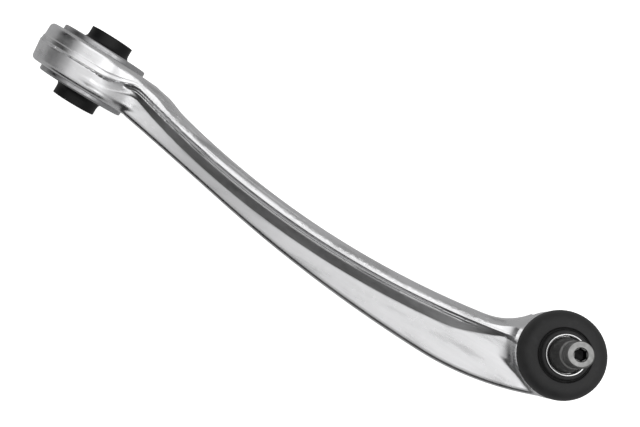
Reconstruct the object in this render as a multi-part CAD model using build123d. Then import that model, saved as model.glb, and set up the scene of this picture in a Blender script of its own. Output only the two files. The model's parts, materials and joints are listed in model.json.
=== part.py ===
from build123d import *
from math import cos, exp, radians, sin, sqrt
import os

# Forged aluminium suspension guide link, in millimetres.
# Origin: centre of the rubber bush. +Y runs along the bush bolt, +X points at the
# ball joint, +Z is the side that the ball stud stands out of.

# ---- main layout ----
LINK_LENGTH = 315.0          # bush centre to ball centre
BALL_LEAN = 8.0              # degrees that the stud axis leans from +Z towards +Y
FIT_GAP = 0.05               # radial clearance of the running fits
SEAM_GAP = 0.1               # clearance where two soft or pressed pieces end at each other
SEAL_GAP = 0.2
CUT_OVERSHOOT = 5.0          # how far a cutting body runs past the surface it cuts

# ---- bush: radii about the Y axis, half lengths along it ----
BOLT_BORE_R = 6.1
INNER_SLEEVE_R = 11.5
INNER_SLEEVE_HALF = 23.0
SLEEVE_CHAMFER = 0.6
HUB_SKIN_R = 13.15
HUB_SKIN_HALF = 22.8
HUB_ROOT_R = 3.4             # concave rubber fillet at the foot of each hub
CAGE_IN_R = 21.0
CAGE_OUT_R = 22.0
CAGE_HALF = 13.5
CHANNEL_OUT_R = 23.5
CHANNEL_HALF = 13.8
OUTER_SLEEVE_R = 25.0
SLEEVE_LIP_R = 21.6          # end lips turned in over the channel shells
FLANGE_R = 26.5
FLANGE_HALF = 15.2
FLANGE_CHAMFER = 0.9
RUBBER_FACE_HALF = 15.0
CHAMBER_IN_R = 14.2          # fluid chambers
CHAMBER_ANGLE = 78.0
CHAMBER_HALF = 9.0
STOP_TIP_R = 16.4            # travel stops inside the chambers
STOP_ANGLE = 44.0
STOP_HALF = 6.0
TRACK_DEPTH = 0.8            # fluid track in the outside of the channel shells
TRACK_WIDTH = 3.0
TRACK_OFFSETS = (-6.0, 6.0)
SHELL_SPLIT = 0.4            # gap between the two channel shells

# ---- forged arm ----
RING_HALF = 12.0
RING_R = 33.6
RING_DRAFT = 0.8             # the ring widens by this much towards its parting line
PARTING_RIDGE = 1.0          # trimmed flash that stands out of the parting line
PARTING_RIDGE_HALF = 1.2
RING_CORNER = 2.4
SEAT_MARGIN = 0.5            # faced seat for the sleeve's flanges
TOP_LOW_X = 180.0            # where the bowed upper edge is lowest
TOP_LOW_Y = -8.2
TOP_BOW = 0.00094            # bow of the upper edge, per mm
FLANGE_THICK = 5.5
PARTING_RISE = (17.0, 39.0)  # stretch where the parting line climbs from the ring's middle
SHOULDER_X = 46.0            # slight shoulder where the upper edge leaves the ring
SHOULDER_RISE = 1.1
SHOULDER_RUN = 8.0
TOP_FILLET_R = 35.0          # arc from the upper edge into the ball housing
TOP_FILLET_X = (272.0, 294.9)
TOP_FILLET_CENTRE = (266.0, 34.3)
NECK_SLOPE = -0.172          # straight lower edge behind the bush
NECK_END_X = 110.0
NECK_END_Y = -25.7
BELLY_X = 250.0              # where the lower edge is deepest
TAIL_BOW = 0.0031            # tighter bow of the lower edge round the ball housing
STEP_DEPTH = 8.5             # height of the sloped step under the upper flange
STEP_LEAST = 1.2
STEP_AT_RING = 0.25          # share of the step's height where it leaves the ring
STEP_RUN = 22.0
STEP_RUNOUT = (252.0, 300.0)
FLANGE_LEAVES_X = 21.5       # the flange leaves the ring along a tangent here
FLANGE_INSET = 0.5
FLANGE_HALF_WIDTH = 14.0
FLANGE_CHAMFER_UP = 3.0      # bevel along the flange's outer corner
FLANGE_CHAMFER_IN = 3.6
FLANGE_DRAFT = 0.9
LAND_HEIGHT = 1.0            # short undercut below the parting line
WEB_HALF_WIDTH = 9.2
WEB_FLARE_AT_RING = 17.0
WEB_RUN_AT_RING = 16.0
WEB_FLARE_AT_BALL = 5.0
WEB_RUN_AT_BALL = 45.0
WEB_DRAFT = 0.9
EDGE_CHAMFER = 3.0
BEAM_STATIONS = (14, 24, 34, 46, 60, 80, 110, 150, 190, 230, 256, 272, 280, 287, 292, 296, 302, 309, 317)

# ---- ball joint: radii about the stud axis, heights above the ball centre ----
BALL_R = 12.5
RACE_OUT_R = 15.5
RACE_TOP = 7.0
RACE_BOTTOM = -12.6
PRELOAD_IN_R = 8.0
COVER_R = 17.5
COVER_TOP = -15.2
COVER_THICK = 2.4
COVER_SHOULDER = -14.0
COVER_DISH_R = 9.0           # middle of the cover, pressed outward
COVER_DISH = 0.8
COVER_DISH_RUN = 3.0
HOUSING_R = 24.3
HOUSING_FOOT = ((6.0, 0.0), (4.0, 2.0), (0.6, 8.0))   # (inset, rise) points of the rounded bottom edge
HOUSING_EDGE = 1.0
HOUSING_BOTTOM = -18.5
HOUSING_LIP_R = 16.2         # lip rolled in over the cover
HOUSING_SHOULDER = 11.5
HOUSING_NECK_R = 21.4
SPOT_FACE_R = 26.0           # the housing is faced flat round its neck
SPOT_FACE_HEIGHT = 50.0
HOUSING_TOP = 14.5
MOUTH_LOW_R = 11.8
MOUTH_TOP_R = 14.0
STUD_NECK_R = 6.5
STUD_SEAT_R = 9.5
STUD_SEAT_START = 21.6
STUD_FLARE = 3.6
STUD_SEAT_END = 29.5
TAPER_BIG_R = 9.0
TAPER_START = 30.5
TAPER_SMALL_R = 7.6
TAPER_END = 42.8
RELIEF_R = 5.9
THREAD_R = 7.0
THREAD_START = 44.3
STUD_END = 56.0
STUD_CHAMFER = 0.5
RELIEF_RUN = 0.4             # ends of the undercut between taper and thread
THREAD_LEAD_IN = 0.6
HEX_FLATS = 6.0
HEX_DEPTH = 7.0
BOOT_R = 24.5
BOOT_WIDEST = 18.2
BOOT_TOP = 26.4
BOOT_WALL = 2.2
BOOT_SHOULDER_R = 15.6
BOOT_BEAD_R = 23.4
BOOT_NECK_EASE = (0.8, 0.4)  # the bead's inner lip: how far it widens, and over what height
BOOT_COLLAR_FLARE = (0.8, 0.2)
BOOT_COLLAR_R = 13.2
BOOT_COLLAR_TOP = 28.8
COLLAR_RING_R = 11.15
COLLAR_RING_IN_R = 10.3
COLLAR_RING_TOP = 29.6
COLLAR_RING_BOTTOM = 22.4
COLLAR_RING_FLOOR = 0.9
LOWER_WIRE_R = 0.6
LOWER_WIRE_LIFT = 1.2        # above the housing's shoulder
UPPER_WIRE_R = 0.6
UPPER_WIRE_HEIGHT = 27.2


def turned_about_y(profile):
    """Solid of revolution about the bush axis from (radius, y) points."""
    return revolve(make_face(Polyline(*profile, close=True)), axis=Axis.Y)


def turned_about_z(profile):
    """Solid of revolution about the stud axis from (radius, height) points."""
    points = [(radius, 0, height) for radius, height in profile]
    return revolve(make_face(Polyline(*points, close=True)), axis=Axis.Z)


def at_ball(shape):
    """Moves a shape from the ball joint's own frame to its place on the arm."""
    return Pos(LINK_LENGTH, 0, 0) * Rot(-BALL_LEAN, 0, 0) * shape


def sector(inner_r, outer_r, half_height, angle, middle):
    """Block between two radii about Y, spanning angle degrees around middle (from +X)."""
    steps = 12
    start = radians(middle - angle / 2)
    turn = radians(angle) / steps
    reach = outer_r / cos(turn / 2)
    corners = [(reach * cos(start + turn * i), reach * sin(start + turn * i)) for i in range(steps + 1)]
    wedge = Plane.XZ * make_face(Polyline((0, 0), *corners, close=True))
    block = extrude(wedge, amount=half_height, both=True)
    return block & turned_about_y(ring_profile(inner_r, outer_r, half_height))


def ring_profile(inner_r, outer_r, half_height):
    return [
        (inner_r, -half_height),
        (outer_r, -half_height),
        (outer_r, half_height),
        (inner_r, half_height),
    ]


# ---- bush pieces ----
def bush_inner_sleeve():
    r, h, c = INNER_SLEEVE_R, INNER_SLEEVE_HALF, SLEEVE_CHAMFER
    b = BOLT_BORE_R
    return turned_about_y([
        (b + c, -h), (r - c, -h), (r, c - h), (r, h - c), (r - c, h), (b + c, h), (b, h - c), (b, c - h),
    ])


def hub_root(side):
    """Concave quarter fillet where the rubber hub meets the rubber face, as (radius, y) points."""
    centre_r = HUB_SKIN_R + HUB_ROOT_R
    centre_y = RUBBER_FACE_HALF + HUB_ROOT_R
    points = []
    for step in range(7):
        angle = radians(180 + 15 * step)
        points.append((centre_r + HUB_ROOT_R * cos(angle), side * (centre_y + HUB_ROOT_R * sin(angle))))
    return points


def bush_rubber_spring():
    inner = INNER_SLEEVE_R + FIT_GAP
    upper = [(inner, HUB_SKIN_HALF), (HUB_SKIN_R, HUB_SKIN_HALF), *hub_root(1)]
    rim_r = SLEEVE_LIP_R - SEAM_GAP
    lip_half = CHANNEL_HALF + SEAM_GAP
    rim = [(rim_r, RUBBER_FACE_HALF), (rim_r, lip_half)]
    step = [(CAGE_IN_R, lip_half)]
    half = upper + rim + step
    lower = [(radius, -y) for radius, y in reversed(half)]
    body = turned_about_y(half + lower)
    for middle in (0, 180):
        body -= sector(CHAMBER_IN_R, CAGE_IN_R + CUT_OVERSHOOT, CHAMBER_HALF, CHAMBER_ANGLE, middle)
    return body


def bush_window_cage():
    cage = turned_about_y(ring_profile(CAGE_IN_R, CAGE_OUT_R, CAGE_HALF))
    for middle in (0, 180):
        cage -= sector(CAGE_IN_R - CUT_OVERSHOOT, CAGE_OUT_R + CUT_OVERSHOOT, CHAMBER_HALF, CHAMBER_ANGLE, middle)
    return cage


def bush_channel_shell(side):
    """Half of the plastic shell that carries the fluid track: side +1 is +Z, side -1 is -Z."""
    shell = turned_about_y(ring_profile(CAGE_OUT_R, CHANNEL_OUT_R, CHANNEL_HALF))
    for offset in TRACK_OFFSETS:
        groove = ring_profile(CHANNEL_OUT_R - TRACK_DEPTH, CHANNEL_OUT_R + CUT_OVERSHOOT, TRACK_WIDTH / 2)
        shell -= turned_about_y([(radius, y + offset) for radius, y in groove])
    reach = 4 * CHANNEL_OUT_R
    keep = Pos(0, 0, side * (reach / 2 + SHELL_SPLIT / 2)) * Box(reach, reach, reach)
    return shell & keep


def bush_stop_blocks():
    blocks = [
        sector(STOP_TIP_R, CAGE_OUT_R - FIT_GAP, STOP_HALF, STOP_ANGLE, middle)
        for middle in (0, 180)
    ]
    return blocks[0] + blocks[1]


def bush_outer_sleeve():
    lip_half = CHANNEL_HALF + SEAM_GAP
    half = [
        (CHANNEL_OUT_R, 0), (OUTER_SLEEVE_R, 0), (OUTER_SLEEVE_R, RING_HALF), (FLANGE_R, RING_HALF),
        (FLANGE_R, FLANGE_HALF - FLANGE_CHAMFER), (FLANGE_R - FLANGE_CHAMFER, FLANGE_HALF),
        (SLEEVE_LIP_R, FLANGE_HALF), (SLEEVE_LIP_R, lip_half), (CHANNEL_OUT_R, lip_half),
    ]
    upper = turned_about_y(half)
    return upper + mirror(upper, about=Plane.XZ)


# ---- forged arm ----
def bowed_edge(x):
    """The arm's long upper bow, without its fillets."""
    return TOP_LOW_Y + TOP_BOW * (x - TOP_LOW_X) ** 2


def eased(x, low, high):
    """Rises smoothly from 0 at low to 1 at high."""
    t = min(max((x - low) / (high - low), 0), 1)
    return t * t * (3 - 2 * t)


def upper_edge(x):
    start, end = TOP_FILLET_X
    centre_x, centre_y = TOP_FILLET_CENTRE
    if x < start:
        shoulder = SHOULDER_RISE * exp(-(((x - SHOULDER_X) / SHOULDER_RUN) ** 2))
        return min(bowed_edge(x) + shoulder, RING_HALF)
    if x < end:
        return centre_y - sqrt(TOP_FILLET_R**2 - (x - centre_x) ** 2)
    return sqrt(HOUSING_R**2 - (LINK_LENGTH - x) ** 2)


def parting_edge(x):
    """Height of the flange's outer edge, where the two forging dies meet."""
    return (min(bowed_edge(x), RING_HALF) - FLANGE_THICK) * eased(x, *PARTING_RISE)


def lower_edge(x):
    if x < NECK_END_X:
        return min(NECK_END_Y + NECK_SLOPE * (x - NECK_END_X), -RING_HALF)
    bend = NECK_SLOPE / (2 * (BELLY_X - NECK_END_X))
    belly_y = NECK_END_Y + NECK_SLOPE * (BELLY_X - NECK_END_X) / 2
    bow = TAIL_BOW if x > BELLY_X else -bend
    return belly_y + bow * (x - BELLY_X) ** 2


def step_height(x):
    """Height of the sloped step below the flange; it runs out at both ends."""
    at_ring = 1 - (1 - STEP_AT_RING) * exp(-(x - BEAM_STATIONS[0]) / STEP_RUN)
    return max(STEP_DEPTH * at_ring * (1 - eased(x, *STEP_RUNOUT)), STEP_LEAST)


def flange_half_width(x):
    if x < FLANGE_LEAVES_X:
        return sqrt((RING_R - FLANGE_INSET) ** 2 - x**2)
    side = sqrt(RING_R**2 - FLANGE_LEAVES_X**2)
    extra = side - FLANGE_HALF_WIDTH
    run = extra * side / FLANGE_LEAVES_X
    return FLANGE_HALF_WIDTH + extra * exp(-(x - FLANGE_LEAVES_X) / run)


def web_half_width(x):
    at_ring = WEB_FLARE_AT_RING * exp(-(x - BEAM_STATIONS[0]) / WEB_RUN_AT_RING)
    return WEB_HALF_WIDTH + at_ring + WEB_FLARE_AT_BALL * exp((x - LINK_LENGTH) / WEB_RUN_AT_BALL)


def beam_section(x):
    """Closed outline of the arm across its length at x."""
    top = upper_edge(x)
    edge = parting_edge(x)
    low = lower_edge(x)
    wide = flange_half_width(x)
    inset = wide - FLANGE_DRAFT
    web = web_half_width(x)
    right = [
        (top, inset - FLANGE_CHAMFER_IN), (top - FLANGE_CHAMFER_UP, inset), (edge, wide),
        (edge - LAND_HEIGHT, inset), (edge - step_height(x), web),
        (low + EDGE_CHAMFER, web - WEB_DRAFT), (low, web - WEB_DRAFT - EDGE_CHAMFER),
    ]
    left = [(y, -z) for y, z in reversed(right)]
    return Wire.make_polygon([Vector(x, y, z) for y, z in right + left], close=True)


def arm_beam():
    return Solid.make_loft([beam_section(x) for x in BEAM_STATIONS])


def bush_ring():
    c = RING_CORNER
    wide = RING_R + RING_DRAFT
    return turned_about_y([
        (0, -RING_HALF), (RING_R - c, -RING_HALF), (RING_R, c - RING_HALF), (wide, -PARTING_RIDGE_HALF),
        (wide + PARTING_RIDGE, 0), (wide, PARTING_RIDGE_HALF), (RING_R, RING_HALF - c),
        (RING_R - c, RING_HALF), (0, RING_HALF),
    ])


def flange_seats():
    """Room faced off above and below the ring for the sleeve's two flanges."""
    depth = 2 * (FLANGE_HALF - RING_HALF)
    cutter = turned_about_y(ring_profile(0, FLANGE_R + SEAT_MARGIN, depth / 2))
    middle = RING_HALF + depth / 2
    return Pos(0, middle, 0) * cutter + Pos(0, -middle, 0) * cutter


def ball_housing():
    r = HOUSING_R
    foot = [(r - inset, HOUSING_BOTTOM + rise) for inset, rise in HOUSING_FOOT]
    return at_ball(turned_about_z([
        (0, HOUSING_BOTTOM), *foot, (r, HOUSING_SHOULDER - HOUSING_EDGE), (r - HOUSING_EDGE, HOUSING_SHOULDER),
        (HOUSING_NECK_R, HOUSING_SHOULDER), (HOUSING_NECK_R, HOUSING_TOP), (0, HOUSING_TOP),
    ]))


def ball_cavity():
    """Everything that is bored out of the housing, from the cover's seat up to the mouth."""
    below = HOUSING_BOTTOM - CUT_OVERSHOOT
    above = HOUSING_TOP + CUT_OVERSHOOT
    return at_ball(turned_about_z([
        (0, below), (HOUSING_LIP_R, below),
        (HOUSING_LIP_R, COVER_TOP - COVER_THICK), (COVER_R, COVER_TOP - COVER_THICK),
        (COVER_R, COVER_SHOULDER), (RACE_OUT_R, COVER_SHOULDER), (RACE_OUT_R, RACE_TOP),
        (MOUTH_LOW_R, RACE_TOP), (MOUTH_TOP_R, HOUSING_TOP), (MOUTH_TOP_R, above), (0, above),
    ]))


def arm_body():
    forging = arm_beam() + bush_ring() + ball_housing()
    forging -= turned_about_y(ring_profile(0, OUTER_SLEEVE_R, 2 * RING_HALF)) + flange_seats()
    facing = Cylinder(SPOT_FACE_R, SPOT_FACE_HEIGHT) - Cylinder(HOUSING_NECK_R, SPOT_FACE_HEIGHT)
    forging -= at_ball(Pos(0, 0, HOUSING_SHOULDER + SPOT_FACE_HEIGHT / 2) * facing)
    return forging - ball_cavity()


# ---- ball joint pieces ----
def ball_stud():
    shank = turned_about_z([
        (0, 0), (STUD_NECK_R, 0), (STUD_NECK_R, STUD_SEAT_START - STUD_FLARE), (STUD_SEAT_R, STUD_SEAT_START),
        (STUD_SEAT_R, STUD_SEAT_END), (TAPER_BIG_R, TAPER_START), (TAPER_SMALL_R, TAPER_END),
        (RELIEF_R, TAPER_END + RELIEF_RUN), (RELIEF_R, THREAD_START - RELIEF_RUN),
        (THREAD_R, THREAD_START + THREAD_LEAD_IN),
        (THREAD_R, STUD_END - STUD_CHAMFER), (THREAD_R - STUD_CHAMFER, STUD_END), (0, STUD_END),
    ])
    stud = Sphere(BALL_R) + shank
    socket = extrude(RegularPolygon(HEX_FLATS / 2, 6, major_radius=False), amount=HEX_DEPTH)
    stud -= Pos(0, 0, STUD_END - HEX_DEPTH) * socket
    return at_ball(stud)


def ball_race():
    blank = turned_about_z([
        (0, RACE_BOTTOM), (RACE_OUT_R, RACE_BOTTOM), (RACE_OUT_R, RACE_TOP), (0, RACE_TOP),
    ])
    return at_ball(blank - Sphere(BALL_R + FIT_GAP))


def race_preload_ring():
    outer = RACE_OUT_R - SEAL_GAP
    return at_ball(turned_about_z([
        (PRELOAD_IN_R, COVER_TOP), (outer, COVER_TOP), (outer, RACE_BOTTOM), (PRELOAD_IN_R, RACE_BOTTOM),
    ]))


def housing_cover():
    outside = COVER_TOP - COVER_THICK
    return at_ball(turned_about_z([
        (0, outside - COVER_DISH), (COVER_DISH_R, outside - COVER_DISH), (COVER_DISH_R + COVER_DISH_RUN, outside),
        (COVER_R, outside), (COVER_R, COVER_TOP), (0, COVER_TOP),
    ]))


def cover_seal_ring():
    inner = RACE_OUT_R + SEAL_GAP
    outer = COVER_R - SEAL_GAP
    return at_ball(turned_about_z([
        (inner, COVER_TOP), (outer, COVER_TOP), (outer, COVER_SHOULDER), (inner, COVER_SHOULDER),
    ]))


def boot_curve(offset):
    """Bulged side of the dust boot, set in by offset, as (radius, height) points."""
    points = []
    for degrees in range(-30, 91, 15):
        angle = radians(degrees)
        radius = BOOT_SHOULDER_R + (BOOT_R - BOOT_SHOULDER_R - offset) * cos(angle)
        height = BOOT_WIDEST + (BOOT_TOP - BOOT_WIDEST - offset) * sin(angle)
        points.append((radius, height))
    return points


def dust_boot():
    bead_low = HOUSING_SHOULDER + SEAM_GAP
    neck = HOUSING_NECK_R
    flare_out, flare_up = BOOT_COLLAR_FLARE
    ease_out, ease_down = BOOT_NECK_EASE
    outside = [(BOOT_BEAD_R, bead_low), *boot_curve(0)]
    collar = [
        (BOOT_COLLAR_R + flare_out, BOOT_TOP), (BOOT_COLLAR_R, BOOT_TOP + flare_up),
        (BOOT_COLLAR_R, BOOT_COLLAR_TOP), (COLLAR_RING_R, BOOT_COLLAR_TOP), (COLLAR_RING_R, COLLAR_RING_BOTTOM),
    ]
    bead = [(neck + ease_out, HOUSING_TOP), (neck, HOUSING_TOP - ease_down), (neck, bead_low)]
    inside = [*reversed(boot_curve(BOOT_WALL)), *bead]
    return at_ball(turned_about_z(outside + collar + inside))


def wire_ring(centre_r, height, wire_r):
    return at_ball(Pos(0, 0, height) * Torus(centre_r, wire_r))


def boot_lower_ring():
    return wire_ring(BOOT_BEAD_R + LOWER_WIRE_R, HOUSING_SHOULDER + LOWER_WIRE_LIFT, LOWER_WIRE_R)


def boot_upper_ring():
    return wire_ring(BOOT_COLLAR_R + UPPER_WIRE_R, UPPER_WIRE_HEIGHT, UPPER_WIRE_R)


def boot_collar_ring():
    bearing_r = STUD_SEAT_R + FIT_GAP
    floor = COLLAR_RING_BOTTOM + COLLAR_RING_FLOOR
    return at_ball(turned_about_z([
        (bearing_r, COLLAR_RING_BOTTOM), (COLLAR_RING_R, COLLAR_RING_BOTTOM), (COLLAR_RING_R, COLLAR_RING_TOP),
        (COLLAR_RING_IN_R, COLLAR_RING_TOP), (COLLAR_RING_IN_R, floor), (bearing_r, floor),
    ]))


PIECES = {
    "arm_body": arm_body,
    "bush_inner_sleeve": bush_inner_sleeve,
    "bush_rubber_spring": bush_rubber_spring,
    "bush_window_cage": bush_window_cage,
    "bush_channel_shell_front": lambda: bush_channel_shell(1),
    "bush_channel_shell_rear": lambda: bush_channel_shell(-1),
    "bush_stop_blocks": bush_stop_blocks,
    "bush_outer_sleeve": bush_outer_sleeve,
    "ball_stud": ball_stud,
    "ball_race": ball_race,
    "race_preload_ring": race_preload_ring,
    "housing_cover": housing_cover,
    "cover_seal_ring": cover_seal_ring,
    "dust_boot": dust_boot,
    "boot_lower_ring": boot_lower_ring,
    "boot_upper_ring": boot_upper_ring,
    "boot_collar_ring": boot_collar_ring,
}

os.makedirs("parts", exist_ok=True)
for node, build in PIECES.items():
    export_step(build(), f"parts/{node}.step")
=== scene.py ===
"""Looks of a curved forged suspension link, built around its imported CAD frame.

Laid out as an add-on: sizes and finishes are properties, and each piece or group of like pieces
has its own operator. Lengths inside the mesh code are in millimetres; meshes end up in metres.
"""

import json
import math

import bmesh
import bpy
import numpy as np
from bpy.props import FloatProperty, FloatVectorProperty, PointerProperty
from bpy.types import Operator, Panel, PropertyGroup
from mathutils import Matrix, Vector


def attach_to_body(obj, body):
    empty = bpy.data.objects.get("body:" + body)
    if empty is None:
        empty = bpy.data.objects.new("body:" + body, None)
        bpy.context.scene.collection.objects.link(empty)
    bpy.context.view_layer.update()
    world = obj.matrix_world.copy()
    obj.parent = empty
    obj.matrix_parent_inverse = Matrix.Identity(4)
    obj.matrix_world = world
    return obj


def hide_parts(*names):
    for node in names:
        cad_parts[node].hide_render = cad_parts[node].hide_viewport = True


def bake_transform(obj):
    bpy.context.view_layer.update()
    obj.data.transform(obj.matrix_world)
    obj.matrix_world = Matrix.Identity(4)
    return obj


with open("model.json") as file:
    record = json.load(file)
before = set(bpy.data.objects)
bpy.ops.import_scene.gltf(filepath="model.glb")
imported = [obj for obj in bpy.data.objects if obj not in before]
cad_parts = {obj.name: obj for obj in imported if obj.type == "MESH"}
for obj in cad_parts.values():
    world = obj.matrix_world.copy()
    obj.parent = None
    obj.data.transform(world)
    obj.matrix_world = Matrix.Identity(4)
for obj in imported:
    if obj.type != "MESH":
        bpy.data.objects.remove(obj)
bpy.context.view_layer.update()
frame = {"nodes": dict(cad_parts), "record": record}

bl_info = {
    "name": "Forged suspension link",
    "version": (1, 0, 0),
    "blender": (4, 5, 0),
    "location": "3D View > Sidebar > Link",
    "description": "Builds the visible pieces of a forged suspension link around its CAD frame",
    "category": "Object",
}

MM = 0.001
JOINTS = {joint["name"]: joint for joint in frame["record"]["behaviour"]["joints"]}
MOUNTS = {mount["name"]: mount for mount in frame["record"]["mounts"]}
BALL = Vector(JOINTS["ball_tilt_x"]["pos_m"])
STUD_AXIS = Vector(MOUNTS["stud_thread"]["axis"]).normalized()
STUD_LEAN = math.atan2(STUD_AXIS.y, STUD_AXIS.z)

BUSH_PLACE = Matrix.Rotation(math.radians(-90), 4, "X")
BALL_PLACE = Matrix.Translation(BALL) @ Matrix.Rotation(-STUD_LEAN, 4, "X")


# ---- sizes and finishes
def length(name, description, millimetres):
    return FloatProperty(name=name, description=description, default=millimetres * MM, unit="LENGTH", precision=5)


def colour(name, description, value):
    return FloatVectorProperty(name=name, description=description, default=value, subtype="COLOR", size=3)


def turn(name, description, degrees):
    return FloatProperty(name=name, description=description, default=math.radians(degrees), subtype="ANGLE")


def share(name, description, value):
    return FloatProperty(name=name, description=description, default=value, subtype="FACTOR", min=0, max=1)


class ForgingSizes(PropertyGroup):
    ring_radius: length("Ring radius", "Outside radius of the bush ring", 33.6)
    ring_half_width: length("Ring half width", "Half the ring's length", 12.0)
    ring_corner: length("Ring corner", "Rounding of the ring's corners", 2.6)
    flange_half_width: length("Flange half width", "Half width of the upper flange", 14.0)
    flange_thickness: length("Flange thickness", "From the upper edge to the parting line", 5.5)
    web_half_width: length("Web half width", "Half width of the web below the flange", 9.2)
    step_height: length("Step height", "Height of the sloped step between flange and web", 8.5)
    housing_radius: length("Housing radius", "Outside radius of the ball housing", 24.3)
    fillet: length("Fillet", "Blend between the beam and the ball housing", 8.0)


class FinishColours(PropertyGroup):
    aluminium: colour("Aluminium", "Forged aluminium", (0.80, 0.80, 0.81))
    aluminium_roughness: share("Aluminium roughness", "Mean roughness of the forging", 0.30)
    sleeve: colour("Outer sleeve", "Pressed steel of the bush's outer sleeve", (0.50, 0.50, 0.51))
    bush_rubber: colour("Bush rubber", "Moulded rubber of the bush", (0.005, 0.005, 0.0055))
    boot_rubber: colour("Boot rubber", "Moulded rubber of the dust boot", (0.029, 0.029, 0.0295))
    bright_steel: colour("Bright steel", "Collar ring in the boot's mouth", (0.78, 0.78, 0.78))
    stud: colour("Stud", "Machined and phosphated stud", (0.17, 0.17, 0.168))
    stud_end: colour("Stud end", "Faced end of the stud", (0.34, 0.34, 0.335))


class StageSettings(PropertyGroup):
    camera_distance: length("Camera distance", "From camera to bush along the view", 529.94)
    camera_across: length("Camera across", "Camera beside the bush", 135.42)
    camera_up: length("Camera up", "Camera above the bush", -85.19)
    camera_roll: turn("Camera roll", "Turn about the view", 31.73)
    camera_yaw: turn("Camera yaw", "Swing towards the ball joint", 5.43)
    camera_pitch: turn("Camera pitch", "Tilt towards the upper edge", 0.49)
    lens: FloatProperty(name="Lens", description="Focal length in millimetres", default=50.0)
    floor_drop: length("Floor drop", "Floor below the axis of the bush", 36.5)


def sizes_in_mm(group):
    """Every length of a property group, in millimetres."""
    return {name: getattr(group, name) / MM for name in type(group).__annotations__}


# ---- mesh helpers
def moved(points, matrix):
    """Points in metres, moved by a matrix."""
    turn = np.array(matrix)
    return points @ turn[:3, :3].T + turn[:3, 3]


def add_object(name, data):
    obj = bpy.data.objects.new(name, data)
    bpy.context.scene.collection.objects.link(obj)
    return obj


def mesh_object(name, points_mm, faces, place=None):
    """A smooth-shaded object from points in millimetres, moved by place into the link's frame."""
    points = np.asarray(points_mm, float) * MM
    if place is not None:
        points = moved(points, place)
    mesh = bpy.data.meshes.new(name)
    mesh.from_pydata(points.tolist(), [], [tuple(face) for face in faces])
    mesh.validate()
    mesh.shade_smooth()
    return add_object(name, mesh)


def circle(radius, height, sides):
    """Points round the vertical axis."""
    angles = [2 * math.pi * side / sides for side in range(sides)]
    return [(radius * math.cos(angle), radius * math.sin(angle), height) for angle in angles]


def band_faces(rows, size):
    """Faces between neighbouring rows of points, each row a closed loop of size points."""
    faces = []
    for start in range(0, (rows - 1) * size, size):
        for i in range(size):
            j = (i + 1) % size
            faces.append((start + i, start + j, start + size + j, start + size + i))
    return faces


def capped_faces(rows, size):
    """The same, with a cap on both end rows."""
    last = (rows - 1) * size
    return [tuple(range(size)), tuple(range(last, last + size)), *band_faces(rows, size)]


def sharpen(obj, degrees):
    """Keeps edges crisp where faces meet at more than this angle."""
    obj.data.set_sharp_from_angle(angle=math.radians(degrees))
    return obj


ROUNDING_SHARE = 0.98  # most of an edge that its two corners may round off
LEAST_ROUNDING = 1e-3
ON_AXIS = 1e-6


def rounded(profile, radius, steps=4):
    """Rounds the corners of a (radius, height) profile; a corner may state its own radius as a third value."""
    count = len(profile)
    out = []
    for i, corner in enumerate(profile):
        here = Vector(corner[:2])
        before = Vector(profile[i - 1][:2])
        after = Vector(profile[(i + 1) % count][:2])
        size = corner[2] if len(corner) > 2 else radius
        reach = size
        for other, place in ((profile[i - 1], before), (profile[(i + 1) % count], after)):
            beside = other[2] if len(other) > 2 else radius
            reach = min(reach, (place - here).length * ROUNDING_SHARE * size / (size + beside))
        if here.x < ON_AXIS or reach < LEAST_ROUNDING:
            out.append(tuple(here))
            continue
        start = here + (before - here).normalized() * reach
        end = here + (after - here).normalized() * reach
        for step in range(steps + 1):
            t = step / steps
            out.append(tuple(start * (1 - t) ** 2 + here * 2 * t * (1 - t) + end * t**2))
    return out


def turned_piece(name, profile, place, sides=128):
    """A closed solid of revolution from a closed (radius, height) profile; points on the axis become poles."""
    rows = []
    points = []
    for radius, height in profile:
        if radius < ON_AXIS:
            rows.append([len(points)] * sides)
            points.append((0, 0, height))
            continue
        rows.append(list(range(len(points), len(points) + sides)))
        points += circle(radius, height, sides)
    faces = []
    for row, after in zip(rows, rows[1:] + rows[:1]):
        for side in range(sides):
            beside = (side + 1) % sides
            corners = list(dict.fromkeys((row[side], row[beside], after[beside], after[side])))
            if len(corners) > 2:
                faces.append(corners)
    obj = mesh_object(name, points, faces, place)
    turn_faces_outward(obj)
    return obj


def turn_faces_outward(obj):
    mesh = bmesh.new()
    mesh.from_mesh(obj.data)
    bmesh.ops.recalc_face_normals(mesh, faces=mesh.faces)
    mesh.to_mesh(obj.data)
    mesh.free()


def apply_modifiers(obj):
    """Replaces the object's mesh by what its modifiers make of it."""
    seen = obj.evaluated_get(bpy.context.evaluated_depsgraph_get())
    made = bpy.data.meshes.new_from_object(seen)
    obj.modifiers.clear()
    old = obj.data
    obj.data = made
    bpy.data.meshes.remove(old)


def cut(obj, cutter, finish=None):
    """Takes the cutter's solid out of obj and removes the cutter; finish is the material of the cut faces."""
    change = obj.modifiers.new("cut", "BOOLEAN")
    change.operation = "DIFFERENCE"
    change.solver = "EXACT"
    if finish:
        cutter.data.materials.append(finish)
        change.material_mode = "TRANSFER"
    change.object = cutter
    apply_modifiers(obj)
    bpy.data.objects.remove(cutter)


def attach(obj, body, node):
    """Ties a finished piece to its body and hides the CAD node it stands for."""
    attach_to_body(obj, body)
    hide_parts(node)


def dress(obj, material, body, node, crisp=40):
    """Gives a piece one material all over, keeps its edges crisp and ties it to its body."""
    sharpen(obj, crisp)
    obj.data.materials.clear()
    obj.data.materials.append(material)
    attach(obj, body, node)


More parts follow.
